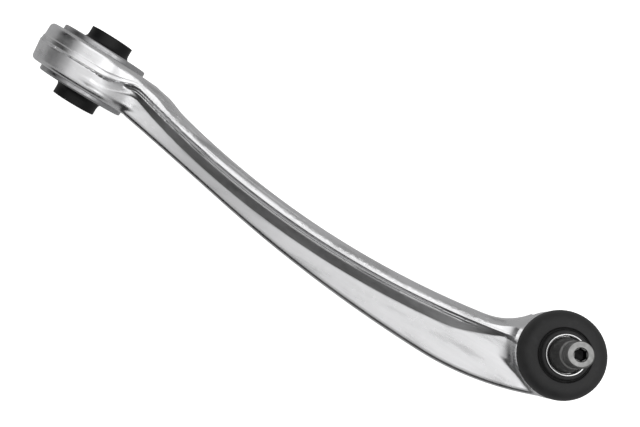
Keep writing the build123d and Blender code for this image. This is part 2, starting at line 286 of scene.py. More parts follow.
# ---- shape of the forging
TOP_LOW_X = 180.0  # the bowed upper edge is lowest here
TOP_LOW_Y = -8.2
TOP_BOW = 0.00094
SHOULDER_X = 46.0  # slight shoulder where the upper edge leaves the ring
SHOULDER_RISE = 1.1
SHOULDER_RUN = 8.0
TOP_FILLET_R = 35.0  # arc from the upper edge into the ball housing
TOP_FILLET_X = (272.0, 294.9)
TOP_FILLET_CENTRE = (266.0, 34.3)
FLANGE_LEAVES_X = 21.5  # the flange leaves the ring along a tangent here
BALL_X = BALL.x / MM
PARTING_RISE = (17.0, 39.0)  # stretch where the parting line climbs from the ring's middle
NECK_SLOPE = -0.172  # straight lower edge behind the bush
NECK_END = (110.0, -25.7)
BELLY_X = 250.0
TAIL_BOW = 0.0031  # tighter bow of the lower edge round the ball housing
BEAM = (14.0, 317.0)
LAND_STEPS = (1.7, 3.0)  # two small lands that the trimmed flash leaves under the parting line
LAND_STARTS = (26, 50)  # stretches where the lands begin and end
LAND_ENDS = (235, 275)
STEP_LEAST = 0.4
STEP_LOST_AT_RING = 0.75  # share of the step's height that is missing at the ring
STEP_RUN = 22
STEP_RUNOUT = (252, 300)
WEB_FLARE = (17.0, 16)  # extra half width of the web at the ring, and the length it dies out over
WEB_SWELL = (5.0, 45)  # the same at the ball
WEB_CORNER = 3.2
WEB_DRAFT = 0.9
STEP_INSET = 0.75  # the step starts this far inside the flange's edge
STEP_INSET_AT_RING = 6.0
PROFILE_CHANGE = (16, 44)  # stretch where the ring's profile turns into the flange's
DRAFT_CHANGE = (12, 26)  # stretch where the ring's lower draft dies out
PROBE = 0.01  # step for slopes of the plan


def smooth_step(x, low, high):
    """Rises smoothly from 0 at low to 1 at high."""
    t = np.clip((x - low) / (high - low), 0, 1)
    return t * t * (3 - 2 * t)


def bowed_edge(x):
    return TOP_LOW_Y + TOP_BOW * (x - TOP_LOW_X) ** 2


def upper_edge(x, form):
    start, end = TOP_FILLET_X
    centre_x, centre_y = TOP_FILLET_CENTRE
    shoulder = SHOULDER_RISE * np.exp(-(((x - SHOULDER_X) / SHOULDER_RUN) ** 2))
    beam = np.minimum(bowed_edge(x) + shoulder, form["ring_half_width"])
    arc = centre_y - np.sqrt(np.maximum(TOP_FILLET_R**2 - (x - centre_x) ** 2, 0))
    round_ball = np.sqrt(np.maximum((form["housing_radius"] - 0.4) ** 2 - (BALL_X - x) ** 2, 0))
    return np.where(x < start, beam, np.where(x < end, arc, round_ball))


def parting_edge(x, form):
    """Height of the line where the two forging dies meet."""
    height = np.minimum(bowed_edge(x), form["ring_half_width"]) - form["flange_thickness"]
    return height * smooth_step(x, *PARTING_RISE)


def lower_edge(x):
    neck_x, neck_y = NECK_END
    neck = neck_y + NECK_SLOPE * (x - neck_x)
    bend = -NECK_SLOPE / (2 * (BELLY_X - neck_x))
    belly = neck_y + NECK_SLOPE * (BELLY_X - neck_x) / 2
    bow = np.where(x > BELLY_X, TAIL_BOW, bend)
    return np.where(x < neck_x, neck, belly + bow * (x - BELLY_X) ** 2)


def leaving_half_width(form):
    return math.sqrt(form["ring_radius"] ** 2 - FLANGE_LEAVES_X**2)


def flange_half_width(x, form):
    """The flange leaves the ring along a tangent and narrows to its own width."""
    side = leaving_half_width(form)
    extra = side - form["flange_half_width"]
    run = extra * side / FLANGE_LEAVES_X
    return form["flange_half_width"] + extra * np.exp(-(x - FLANGE_LEAVES_X) / run)


def flange_slope(x, form):
    return (flange_half_width(x + PROBE, form) - flange_half_width(x, form)) / PROBE


def beside_ring(x, z, form):
    """Whether the nearest part of the plan is the ring's circle."""
    return (x * leaving_half_width(form) < np.abs(z) * FLANGE_LEAVES_X) | (x < 0)


def beyond_plan(x, z, form):
    """Distance outside the plan of ring and flange together: a circle that runs over into the flange's flare."""
    off_flange = (np.abs(z) - flange_half_width(x, form)) / np.sqrt(1 + flange_slope(x, form) ** 2)
    return np.where(beside_ring(x, z, form), np.hypot(x, z) - form["ring_radius"], off_flange)


def web_half_width(x, form):
    (flare, flare_run), (swell, swell_run) = WEB_FLARE, WEB_SWELL
    flare_out = flare * np.exp(-(x - BEAM[0]) / flare_run)
    return form["web_half_width"] + flare_out + swell * np.exp((x - BALL_X) / swell_run)


def step_height(x, form):
    from_ring = 1 - STEP_LOST_AT_RING * np.exp(-(x - BEAM[0]) / STEP_RUN)
    return STEP_LEAST + (form["step_height"] - STEP_LEAST) * from_ring * (1 - smooth_step(x, *STEP_RUNOUT))


def arc_corner(across, height, size, first, last, steps=4):
    """Points round a corner arc of the section, from angle first to last, in degrees from the arc's outward side."""
    angles = [math.radians(first + (last - first) * i / steps) for i in range(steps + 1)]
    return [(across + size * math.cos(angle), height + size * math.sin(angle)) for angle in angles]


def upper_corners(x, form):
    """Outline of everything above the parting line, as (distance beyond the plan, height) arrays at each x.

    Round the bush it is the ring's corner, side, drafted band and trimmed flash ridge; along the
    arm it turns into the flange's bevel and rim.
    """
    top = upper_edge(x, form)
    edge = parting_edge(x, form)
    round_corner = form["ring_corner"]
    along = smooth_step(x, *PROFILE_CHANGE)
    ring = arc_corner(-round_corner, top - round_corner, round_corner, 90, 0)
    ring += [(out, edge + up) for out, up in
             ((0.12, 3.9), (0.5, 3.3), (0.75, 0.9), (1.3, 0.45), (1.6, 0.2), (1.55, -0.15))]
    flange = [(-4.7, top), (-4.0, top - 0.25), (-2.6, top - 1.6), (-1.2, top - 3.0), (-0.85, top - 3.45)]
    flange += [(out, edge + up) for out, up in
               ((-0.52, 1.4), (-0.3, 0.9), (-0.12, 0.5), (0.0, 0.2), (0.0, 0.05), (-0.1, -0.15))]
    outline = [(a * (1 - along) + c * along, b * (1 - along) + d * along) for (a, b), (c, d) in zip(ring, flange)]
    inside = np.full_like(x, -30.0)
    return [(inside, top), *outline, (inside, edge - 0.15)]


def web_corners(x, form):
    """Outline of the web and the step under the flange, with the two small lands on the step."""
    edge = parting_edge(x, form)
    low = lower_edge(x)
    drop = step_height(x, form)
    wide = flange_half_width(x, form) - STEP_INSET - STEP_INSET_AT_RING * (1 - smooth_step(x, 14, 36))
    web = np.minimum(web_half_width(x, form), wide - 0.1)
    inside = np.full_like(x, -14.0)
    slope = (wide - web) / np.maximum(drop - 0.5, 0.1)
    land = smooth_step(x, *LAND_STARTS) * (1 - smooth_step(x, *LAND_ENDS))
    outline = [(inside, edge + 1.0), (wide - 0.3, edge + 1.0), (wide, edge - 0.5)]
    for step in LAND_STEPS:
        ledge = wide - slope * (step - 0.5)
        for out, up in ((-0.35, 0.35), (0.30, 0.0), (0.25, -0.35)):
            outline.append((ledge + out * land, np.maximum(edge - step + up * land, edge - drop + 0.02)))
    outline.append((web, edge - drop))
    outline += arc_corner(web - WEB_DRAFT - WEB_CORNER, low + WEB_CORNER, WEB_CORNER, 0, -90)
    return outline + [(inside, low)]


def polygon_distance(across, height, corners):
    """Signed distance to a closed outline, negative inside; each corner may differ from point to point."""
    nearest = np.full_like(across, 1e9)
    inside = np.zeros(across.shape, bool)
    for (ax, ay), (bx, by) in zip(corners, corners[1:] + corners[:1]):
        ex, ey = bx - ax, by - ay
        wx, wy = across - ax, height - ay
        along = np.clip((wx * ex + wy * ey) / np.maximum(ex * ex + ey * ey, 1e-12), 0, 1)
        nearest = np.minimum(nearest, (wx - ex * along) ** 2 + (wy - ey * along) ** 2)
        crosses = (ay > height) != (by > height)
        with np.errstate(divide="ignore", invalid="ignore"):
            left = across < ex * (height - ay) / (by - ay) + ax
        inside ^= crosses & left
    return np.where(inside, -1, 1) * np.sqrt(nearest)


def ring_low_corners(x, form):
    """Profile of the ring below the parting line at each x, drafted from the ridge down to the lower corner."""
    r, h, c = form["ring_radius"], form["ring_half_width"], form["ring_corner"]
    edge = parting_edge(x, form)
    corner = arc_corner(r - c, c - h, c, 0, -90)
    draft = 1 - 1.3 * smooth_step(x, *DRAFT_CHANGE)
    start = [(0.0, edge + 0.6), (r + 0.6 * draft, edge + 0.6), (r + 0.65 * draft, edge - 0.3),
             (r + draft, edge - 0.8)]
    return as_arrays([*start, *corner, (0.0, -h)], x)


def as_arrays(outline, like):
    return [(across + 0 * like, height + 0 * like) for across, height in outline]


HOUSING_BOTTOM = -18.5
HOUSING_TOP = 15.0


def housing_outline(form):
    r = form["housing_radius"]
    return [(-10, HOUSING_BOTTOM), (r - 6.2, HOUSING_BOTTOM), (r - 5.0, HOUSING_BOTTOM + 0.5),
            (r - 4.0, HOUSING_BOTTOM + 1.7), (r - 0.8, -10.0), (r - 0.2, -7.0), (r, 0), (r, HOUSING_TOP),
            (-10, HOUSING_TOP)]


def smooth_union(first, second, blend):
    near = np.maximum(blend - np.abs(first - second), 0) / blend
    return np.minimum(first, second) - near * near * blend / 4


def in_ball_frame(points):
    """Points of the arm frame, seen from the ball joint's own frame."""
    return moved(points * MM, BALL_PLACE.inverted()) / MM


def forging_distance(points, form):
    """Signed distance to the forging as struck, before machining."""
    x, y, z = points.T
    clamped = np.clip(x, *BEAM)
    beyond = np.abs(x - clamped)
    top = polygon_distance(beyond_plan(x, z, form), y, upper_corners(clamped, form))
    top = np.maximum(top, x - BEAM[1])
    ring_low = polygon_distance(np.hypot(x, z), y, ring_low_corners(clamped, form))
    web = np.maximum(polygon_distance(np.abs(z), y, web_corners(clamped, form)), beyond)
    below_ridge = smooth_step(parting_edge(clamped, form) - y, 1.0, 6.0)
    neck_blend = 0.3 + (1.2 + 7.0 * (1 - smooth_step(-y, 7.0, 11.5))) * below_ridge
    struck = np.minimum(top, smooth_union(ring_low, web, neck_blend))
    local = in_ball_frame(points)
    housing = polygon_distance(np.hypot(local[:, 0], local[:, 1]), local[:, 2], as_arrays(housing_outline(form), x))
    housing_blend = 1.2 + form["fillet"] * (1 - smooth_step(y, 2, 8)) * (1 - smooth_step(-y, 15, 21))
    return smooth_union(struck, housing, housing_blend)


def settle_on_surface(points, form):
    """Moves points along the distance's slope until they lie on the forging's surface."""
    for _ in range(SETTLE_ROUNDS):
        here = forging_distance(points, form)
        slope = np.empty_like(points)
        for axis in range(3):
            shift = np.zeros(3)
            shift[axis] = SETTLE_PROBE
            ahead, behind = forging_distance(points + shift, form), forging_distance(points - shift, form)
            slope[:, axis] = (ahead - behind) / (2 * SETTLE_PROBE)
        steepness = np.maximum((slope**2).sum(1), LEAST_STEEPNESS)
        points = points - slope * (np.clip(here, -LONGEST_MOVE, LONGEST_MOVE) / steepness)[:, None]
    return points


GRID = np.array((1.1, 0.30, 0.32))  # mesh pitch along the arm, up its side and across it
FINE_X = (-40.0, 48.0)  # stretch round the bush with a finer pitch along the arm
FINE_GAIN = 2.0
SETTLE_ROUNDS = 5
SETTLE_PROBE = 0.03
LEAST_STEEPNESS = 0.2
LONGEST_MOVE = 1.5  # most that a point moves in one round of settling
CORNER_REACH = 0.17  # points this close to a corner are pulled onto it


def straighten(points, form):
    """Bends the arm straight along its parting line and scales it so that one mesh pitch is 1."""
    out = points.copy()
    out[:, 1] -= parting_edge(points[:, 0], form)
    low, high = FINE_X
    out[:, 0] += (FINE_GAIN - 1) * (np.clip(out[:, 0], low, high) - low)
    return out / GRID


def unstraighten(points, form):
    out = points * GRID
    low, high = FINE_X
    drawn_out = np.clip(out[:, 0] - low, 0, (high - low) * FINE_GAIN)
    out[:, 0] -= drawn_out * (1 - 1 / FINE_GAIN)
    out[:, 1] += parting_edge(out[:, 0], form)
    return out


def rough_blank(form):
    """Ring, beam and housing as three overlapping closed solids."""
    h, r = form["ring_half_width"], form["ring_radius"]
    housing = [(max(radius, 0.0), height) for radius, height in housing_outline(form)]
    parts = [turned_piece("rough_ring", [(0, -h), (r, -h), (r + 1, 0), (r, h), (0, h)], BUSH_PLACE),
             turned_piece("rough_housing", housing, BALL_PLACE)]
    stations = np.linspace(*BEAM, 100)
    round_ring = np.sqrt(np.maximum(r**2 - stations**2, 0))
    wide = np.where(stations < FLANGE_LEAVES_X, round_ring, flange_half_width(stations, form))
    flange = [(np.maximum(wide + out, 1), height) for out, height in upper_corners(stations, form)[1:-1]]
    for corners in (flange, web_corners(stations, form)[1:-1]):
        parts.append(rough_beam(stations, corners))
    return parts


def rough_beam(stations, corners):
    """A closed loft through the mirrored section at every station."""
    loops = []
    for i, x in enumerate(stations):
        half = [(x, height[i], across[i]) for across, height in corners]
        loops.append(half + [(x, y, -z) for x, y, z in reversed(half)])
    return mesh_object("rough_beam", [point for loop in loops for point in loop],
                       capped_faces(len(loops), len(loops[0])))


def points_of(obj):
    points = np.empty(len(obj.data.vertices) * 3, np.float32)
    obj.data.vertices.foreach_get("co", points)
    return points.reshape(-1, 3).astype(float)


def set_points(obj, points):
    obj.data.vertices.foreach_set("co", points.astype(np.float32).ravel())
    obj.data.update()


def pull_to_corners(across, height, corners, reach):
    """Moves points onto the nearest corner that lies within reach of them."""
    new_across, new_height = across, height
    for corner_across, corner_height in corners:
        gap = np.hypot(across - corner_across, height - corner_height)
        closer = gap < reach
        reach = np.where(closer, gap, reach)
        new_across = np.where(closer, corner_across, new_across)
        new_height = np.where(closer, corner_height, new_height)
    return new_across, new_height


def sharpen_plan(points, form):
    """Pulls the points beside a corner of the upper half onto it, square to the plan's outline."""
    x, y, z = points.T
    on_ring = beside_ring(x, z, form)
    slope = flange_slope(x, form)
    steep = np.sqrt(1 + slope**2)
    radius = np.maximum(np.hypot(x, z), 1.0)
    beyond = beyond_plan(x, z, form)
    reach = CORNER_REACH * smooth_step(x, 20, 26) * (1 - smooth_step(x, 270, 280))
    new_beyond, height = pull_to_corners(beyond, y, upper_corners(x, form)[1:-1], reach)
    out = np.empty_like(points)
    out[:, 0] = x + np.where(on_ring, x / radius, -slope / steep) * (new_beyond - beyond)
    out[:, 1] = height
    out[:, 2] = z + np.where(on_ring, z / radius, np.sign(z) / steep) * (new_beyond - beyond)
    return out


def sharpen_section(points, form):
    """Pulls the points beside a corner of the arm's section onto it, so that its long edges run straight."""
    x, y, z = points.T
    reach = CORNER_REACH * smooth_step(x, 44, 50) * (1 - smooth_step(x, 270, 280))
    across, height = pull_to_corners(np.abs(z), y, web_corners(x, form)[2:10], reach)
    return np.stack((x, height, np.sign(z) * across), axis=1)


def struck_forging(form):
    """The forging's skin: the rough blank remeshed along the parting line and settled on its true surface."""
    parts = rough_blank(form)
    mesh = bmesh.new()
    for part in parts:
        set_points(part, straighten(points_of(part) / MM, form))
        turn_faces_outward(part)
        mesh.from_mesh(part.data)
        bpy.data.objects.remove(part)
    skin = add_object("forging", bpy.data.meshes.new("forging"))
    mesh.to_mesh(skin.data)
    mesh.free()
    remesh = skin.modifiers.new("remesh", "REMESH")
    remesh.mode = "VOXEL"
    remesh.voxel_size = 1.0
    apply_modifiers(skin)
    points = unstraighten(points_of(skin), form)
    points = settle_on_surface(points, form)
    points = sharpen_section(sharpen_plan(points, form), form)
    set_points(skin, points * MM)
    return skin


# ---- finishes
def start_finish(name):
    """A new material with its shader and the piece's own coordinates."""
    material = bpy.data.materials.new(name)
    material.use_nodes = True
    nodes = material.node_tree.nodes
    return material, nodes["Principled BSDF"], nodes.new("ShaderNodeTexCoord").outputs["Object"]


def set_inputs(node, inputs):
    """Sets inputs of a node: a value directly, and another node's output as a link."""
    for name, value in inputs.items():
        if isinstance(value, bpy.types.NodeSocket):
            node.id_data.links.new(value, node.inputs[name])
        else:
            node.inputs[name].default_value = value


def add_node(near, kind, inputs, output, operation=None):
    """Adds a shader node to the tree that near belongs to and returns one of the new node's outputs."""
    node = near.id_data.nodes.new("ShaderNode" + kind)
    if operation:
        node.operation = operation
    set_inputs(node, inputs)
    return node.outputs[output]


def mottle(place, size, stretch=(1, 1, 1), detail=3.0):
    """Noise with features about size millimetres across, drawn out along an axis by stretch."""
    scale = [1 / (size * MM * drawn) for drawn in stretch]
    where = add_node(place, "Mapping", {"Scale": scale, "Vector": place}, "Vector")
    return add_node(place, "TexNoise", {"Scale": 1.0, "Detail": detail, "Vector": where}, "Fac")


def spread(value, low, high, start=0.3, end=0.7):
    """Maps a value from start..end to low..high."""
    limits = {"From Min": start, "From Max": end, "To Min": low, "To Max": high}
    return add_node(value, "MapRange", {**limits, "Value": value}, "Result")


def combine(operation, first, second):
    return add_node(first, "Math", {0: first, 1: second}, "Value", operation)


def shades(value, tone, *stops):
    """A colour that runs through shades of a tone, given as (position, factor)."""
    ramp = value.id_data.nodes.new("ShaderNodeValToRGB")
    while len(ramp.color_ramp.elements) < len(stops):
        ramp.color_ramp.elements.new(0.5)
    for element, (position, factor) in zip(ramp.color_ramp.elements, stops):
        element.position = position
        element.color = (*(min(channel * factor, 1) for channel in tone), 1)
    set_inputs(ramp, {"Fac": value})
    return ramp.outputs["Color"]


def relief(shader, *layers):
    """Chains bumps, each given as (height, depth in millimetres), into the shader's normal."""
    under = {}
    for height, depth in layers:
        under = {"Normal": add_node(shader, "Bump", {"Distance": depth * MM, "Height": height, **under}, "Normal")}
    set_inputs(shader, under)


def turning_marks(place, axis_place, pitch):
    """Tool marks that run round an axis: noise over the distance from it and the height along it."""
    back = axis_place.inverted()
    turned = {"Location": back.to_translation(), "Rotation": back.to_euler(), "Vector": place}
    local = add_node(place, "Mapping", turned, "Vector")
    flat = add_node(place, "VectorMath", {0: local, 1: (1, 1, 0)}, "Vector", "MULTIPLY")
    radius = add_node(place, "VectorMath", {0: flat}, "Value", "LENGTH")
    height = add_node(place, "SeparateXYZ", {"Vector": local}, "Z")
    joined = add_node(place, "CombineXYZ", {"X": radius, "Y": height}, "Vector")
    return mottle(joined, pitch, detail=2.0)


def metal(shader, tone, cloud, roughness, rough_by=0.08):
    """Bare metal whose tone and roughness drift with a cloud of noise."""
    set_inputs(shader, {
        "Metallic": 1.0,
        "Base Color": shades(cloud, tone, (0.3, 0.86), (0.7, 1.06)),
        "Roughness": spread(cloud, roughness + rough_by, roughness - rough_by),
    })


def forged_aluminium(finishes):
    """Blasted and tumbled forging skin: fine grain, soft streaks along the arm, duller in the step, whose colour is
    darkened there as painted shade.
    """
    material, shader, place = start_finish("forged_aluminium")
    streaks = mottle(place, 9, stretch=(4, 0.6, 1))
    fine = mottle(place, 0.45, detail=5)
    dents = mottle(place, 2.6)
    recess_shade_and_dullness = place.id_data.nodes.new("ShaderNodeAttribute")
    recess_shade_and_dullness.attribute_name = "recess_shade_and_dullness"
    shade_and_dullness = recess_shade_and_dullness.outputs["Fac"]
    # painted shade: the step under the flange is darkened in colour; its added roughness is the duller skin there
    shade = combine("SUBTRACT", spread(streaks, 0.0, 1.0), shade_and_dullness)
    mean = finishes.aluminium_roughness
    drift = combine("ADD", spread(streaks, mean - 0.05, mean + 0.05), spread(dents, -0.03, 0.05))
    set_inputs(shader, {
        "Metallic": 1.0,
        "Base Color": shades(shade, finishes.aluminium, (0.0, 0.72), (0.35, 0.95), (1.0, 1.06)),
        "Roughness": combine("ADD", drift, combine("MULTIPLY", shade_and_dullness, 0.15)),
    })
    relief(shader, (dents, 0.02), (fine, 0.007))
    return material


def machined_aluminium(finishes, name, axis_place):
    """Faces and bores cut on a lathe, with fine marks round their axis."""
    material, shader, place = start_finish(name)
    metal(shader, finishes.aluminium, mottle(place, 5), 0.45)
    relief(shader, (turning_marks(place, axis_place, 0.22), 0.02))
    return material


def pressed_steel(finishes):
    """Cold-formed sleeve with a dull plated skin."""
    material, shader, place = start_finish("outer_sleeve_steel")
    cloud = mottle(place, 3.5, detail=5)
    metal(shader, finishes.sleeve, cloud, 0.36, 0.10)
    drawn = turning_marks(place, BUSH_PLACE, 0.5)
    relief(shader, (cloud, 0.02), (drawn, 0.012), (mottle(place, 0.3), 0.006))
    return material


def turned_steel(name, tone, roughness, axis_place, marks_depth=0.01):
    """Steel turned on a lathe, then oiled or plated."""
    material, shader, place = start_finish(name)
    metal(shader, tone, mottle(place, 2.2, detail=4), roughness)
    marks = turning_marks(place, axis_place, 0.3)
    relief(shader, (marks, marks_depth), (mottle(place, 0.25), 0.006))
    return material


def moulded_rubber(name, tone, roughness, grain):
    """Rubber from a mould: slightly uneven sheen, fine grain and a faint grey bloom."""
    material, shader, place = start_finish(name)
    bloom = mottle(place, 7, detail=5)
    set_inputs(shader, {
        "Specular IOR Level": 0.3,
        "Base Color": shades(bloom, tone, (0.3, 0.8), (0.6, 1.0), (0.8, 1.5)),
        "Roughness": spread(bloom, roughness - 0.07, roughness + 0.07),
    })
    relief(shader, (bloom, 0.03), (mottle(place, grain, detail=4), 0.01))
    return material


def moulded_plastic(name, tone, roughness):
    """Injection-moulded plastic with faint flow marks."""
    material, shader, place = start_finish(name)
    flow = mottle(place, 4, stretch=(1, 3, 1), detail=4)
    set_inputs(shader, {
        "Base Color": shades(flow, tone, (0.3, 0.88), (0.7, 1.1)),
        "Roughness": spread(flow, roughness - 0.05, roughness + 0.08),
    })
    relief(shader, (flow, 0.01), (mottle(place, 0.3), 0.004))
    return material


def finish_cad_nodes(material, *nodes):
    """Gives CAD solids that stay as they are a proper finish."""
    for node in nodes:
        obj = frame["nodes"][node]
        if not obj.material_slots:
            obj.data.materials.append(material)
        for place in obj.material_slots:
            place.material = material


# ---- the forging
SEAT_RADIUS = 27.0
BORE_RADIUS = 25.0
NECK_RADIUS = 21.4
NECK_TOP = 14.5
SHOULDER = 11.5
SPOT_RADIUS = 26.0


def mirrored(half):
    """A closed profile from its upper half, mirrored below height 0."""
    return half + [(corner[0], -corner[1], *corner[2:]) for corner in reversed(half)]


def bore_cutter(half_width):
    return mirrored([(0, 60), (SEAT_RADIUS, 60), (SEAT_RADIUS, half_width), (BORE_RADIUS + 0.5, half_width),
                     (BORE_RADIUS, half_width - 0.5)])


def ball_cutter():
    """Everything the lathe takes out of the ball housing: the race's bore, the cover's seat and the spot face."""
    return [(0, -30), (16.2, -30), (16.2, -17.6), (17.5, -17.6), (17.5, -14.0), (15.5, -14.0), (15.5, 7.0),
            (11.8, 7.0), (14.0, NECK_TOP), (NECK_RADIUS - 0.4, NECK_TOP), (NECK_RADIUS, NECK_TOP - 0.4),
            (NECK_RADIUS, SHOULDER + 0.3), (NECK_RADIUS + 0.3, SHOULDER), (SPOT_RADIUS - 0.4, SHOULDER),
            (SPOT_RADIUS, SHOULDER + 0.4), (SPOT_RADIUS, 30), (0, 30)]


def mark_recess_shade_and_dullness(obj, form):
    """Stores how far each point lies inside the step under the flange, where the colour is darkened as painted shade
    and the finish is duller.
    """
    x, y = points_of(obj).T[:2] / MM
    depth = parting_edge(x, form) - y
    drop = step_height(x, form)
    inside = smooth_step(depth, 0.2, 1.6) * (1 - smooth_step(depth, drop - 0.6, drop + 1.2))
    along = smooth_step(x, 20, 60) * (1 - smooth_step(x, 262, 292))
    attribute = obj.data.attributes.new("recess_shade_and_dullness", "FLOAT", "POINT")
    attribute.data.foreach_set("value", (inside * along).astype(np.float32))


class LINK_OT_forging(Operator):
    """Builds the forged arm with its bush ring and ball housing, bored and faced"""

    bl_idname = "link.forging"
    bl_label = "Forging"

    def execute(self, context):
        finishes = context.scene.link_finishes
        form = sizes_in_mm(context.scene.link_forging)
        skin = struck_forging(form)
        skin.name = "link_forging"
        skin.data.materials.append(forged_aluminium(finishes))
        bore = turned_piece("bore", bore_cutter(form["ring_half_width"]), BUSH_PLACE, sides=180)
        cut(skin, bore, machined_aluminium(finishes, "bored_aluminium", BUSH_PLACE))
        pocket = turned_piece("pocket", ball_cutter(), BALL_PLACE, sides=180)
        cut(skin, pocket, machined_aluminium(finishes, "faced_aluminium", BALL_PLACE))
        skin.data.shade_smooth()
        sharpen(skin, 50)
        mark_recess_shade_and_dullness(skin, form)
        attach(skin, "arm", "arm_body")
        return {"FINISHED"}


# ---- the bush
HUB_RADIUS = 13.15
HUB_END = 22.8
TUBE_RADIUS = 11.5
TUBE_BORE = 6.1
TUBE_END = 23.0
RUBBER_FACE = 15.0
LIP_RADIUS = 21.6
FLANGE_RADIUS = 26.5
FLANGE_FACE = 15.2


def sleeve_profile(half_width):
    upper = [(23.5, 13.9, 0.3), (LIP_RADIUS, 13.9, 0.3), (LIP_RADIUS, FLANGE_FACE, 0.5),
             (FLANGE_RADIUS, FLANGE_FACE, 1.1), (FLANGE_RADIUS, half_width, 0.5), (BORE_RADIUS, half_width, 0.2)]
    return rounded(mirrored(upper), 0.2)


def hub_profile():
    upper = [(TUBE_RADIUS, HUB_END, 0.1), (HUB_RADIUS, HUB_END, 0.45), (HUB_RADIUS, RUBBER_FACE, 3.4),
             (17.6, RUBBER_FACE, 0.4), (18.1, 14.5, 0.3), (18.9, 14.5, 0.3), (19.4, RUBBER_FACE, 0.4),
             (LIP_RADIUS - 0.1, RUBBER_FACE, 0.5), (LIP_RADIUS - 0.1, 13.6, 0.2), (20.95, 13.5, 0.2)]
    return rounded(mirrored(upper), 0.3)


def tube_profile():
    upper = [(TUBE_BORE, TUBE_END, 0.5), (TUBE_RADIUS, TUBE_END, 0.6)]
    return rounded(mirrored(upper), 0.5)


def chamber_cutter(side):
    """One of the two fluid chambers in the rubber, a sector of a ring."""
    sides = 26
    span = math.radians(78)
    loops = []
    for i in range(sides + 1):
        angle = span * (i / sides - 0.5)
        loop = [(14.2, -9), (22.5, -9), (22.5, 9), (14.2, 9)]
        loops.append([(side * r * math.cos(angle), h, r * math.sin(angle)) for r, h in loop])
    points = [point for loop in loops for point in loop]
    cutter = mesh_object("chamber", points, capped_faces(len(loops), len(loops[0])))
    turn_faces_outward(cutter)
    return cutter


class LINK_OT_bush(Operator):
    """Builds the bush: pressed outer sleeve, moulded rubber with its two chambers, and the inner tube"""

    bl_idname = "link.bush"
    bl_label = "Bush"

    def execute(self, context):
        finishes = context.scene.link_finishes
        form = sizes_in_mm(context.scene.link_forging)
        sleeve = turned_piece("bush_sleeve", sleeve_profile(form["ring_half_width"]), BUSH_PLACE, sides=180)
        dress(sleeve, pressed_steel(finishes), "arm", "bush_outer_sleeve")
        rubber = turned_piece("bush_rubber", hub_profile(), BUSH_PLACE, sides=144)
        for side in (-1, 1):
            cut(rubber, chamber_cutter(side))
        rubber.data.shade_smooth()
        soft = moulded_rubber("bush_rubber", finishes.bush_rubber, 0.50, 0.35)
        dress(rubber, soft, "arm", "bush_rubber_spring")
        tube = turned_piece("bush_tube", tube_profile(), BUSH_PLACE, sides=128)
        steel = turned_steel("sleeve_steel", (0.46, 0.46, 0.45), 0.34, BUSH_PLACE)
        dress(tube, steel, "bush_core", "bush_inner_sleeve")
        finish_cad_nodes(turned_steel("cage_steel", (0.40, 0.40, 0.41), 0.4, BUSH_PLACE), "bush_window_cage")
        nylon = moulded_plastic("channel_nylon", (0.035, 0.035, 0.037), 0.45)
        finish_cad_nodes(nylon, "bush_channel_shell_front", "bush_channel_shell_rear")
        finish_cad_nodes(moulded_plastic("stop_nylon", (0.05, 0.05, 0.052), 0.5), "bush_stop_blocks")
        return {"FINISHED"}


# ---- the ball joint
BALL_RADIUS = 12.5
STUD_NECK = 6.5
THREAD_PITCH = 1.5
THREAD_ROOT = 6.08
THREAD_RADIUS = 7.0
THREAD_SPAN = (43.9, 56.0)
HEX_CORNER = 3.0 / math.cos(math.radians(30))


def stud_profile():
    """Ball, neck, seat, taper and thread blank, from the bottom of the ball to the end of the stud."""
    profile = [(0, -11.6), (4.6, -11.6)]
    for degrees in range(-64, 59, 4):
        angle = math.radians(degrees)
        profile.append((BALL_RADIUS * math.cos(angle), BALL_RADIUS * math.sin(angle)))
    profile += rounded([(STUD_NECK, 10.9), (STUD_NECK, 18.0, 1.5), (9.5, 21.6, 0.5), (9.5, 29.4, 0.3),
                        (9.0, 30.4, 0.4), (7.6, 42.8, 0.4), (5.9, 43.2, 0.2), (5.9, THREAD_SPAN[0], 0.1)], 0.2)[5:-5]
    rows = 100
    low, high = THREAD_SPAN
    profile += [(thread_limit(low + (high - low) * i / rows), low + (high - low) * i / rows) for i in range(rows + 1)]
    return profile + [(4.4, high), (0, high)]


def thread_limit(height):
    """Blank radius of the threaded end: a run-out cone below, a chamfer above."""
    low, high = THREAD_SPAN
    return min(THREAD_RADIUS, 5.9 + 1.1 * (height - low), 6.5 + 1.05 * (high - height))


def cut_thread(obj):
    """Winds the thread into the blank: every point of it moves in to the groove's flank."""
    local = in_ball_frame(points_of(obj) / MM)
    x, y, z = local.T
    radius = np.hypot(x, y)
    low, high = THREAD_SPAN
    turn = (z / THREAD_PITCH - np.arctan2(y, x) / (2 * math.pi)) % 1
    flank = np.clip((np.abs(2 * turn - 1) - 0.14) / 0.66, 0, 1)
    wound = THREAD_ROOT + (THREAD_RADIUS - THREAD_ROOT) * flank
    threaded = (z > low - 0.01) & (z < high + 0.01) & (radius > 5.0)
    scale = np.where(threaded, np.minimum(radius, wound) / np.maximum(radius, 1e-6), 1)
    local[:, 0] *= scale
    local[:, 1] *= scale
    set_points(obj, moved(local * MM, BALL_PLACE))


def face_the_end(stud, material):
    """Gives the flat end of the stud its own finish."""
    stud.data.materials.append(material)
    last = len(stud.data.materials) - 1
    for face in stud.data.polygons:
        height = (BALL_PLACE.inverted() @ face.center).z / MM
        if height > THREAD_SPAN[1] - 0.02:
            face.material_index = last


def collar_ring_profile():
    return rounded([(11.15, 22.4, 0.3), (11.15, 29.6, 0.3), (10.3, 29.6, 0.3), (10.3, 23.3, 0.2), (9.56, 23.3, 0.1),
                    (9.56, 22.4, 0.2)], 0.2, steps=3)


def cover_profile():
    return rounded([(0, -15.2), (17.45, -15.2, 0.3), (17.45, -17.55, 0.4), (15.2, -17.6, 0.5), (14.6, -17.2, 0.4),
                    (13.6, -17.2, 0.4), (13.0, -17.6, 0.5), (11.8, -17.6, 1.0), (9.0, -18.35, 1.0), (0, -18.35)], 0.3)


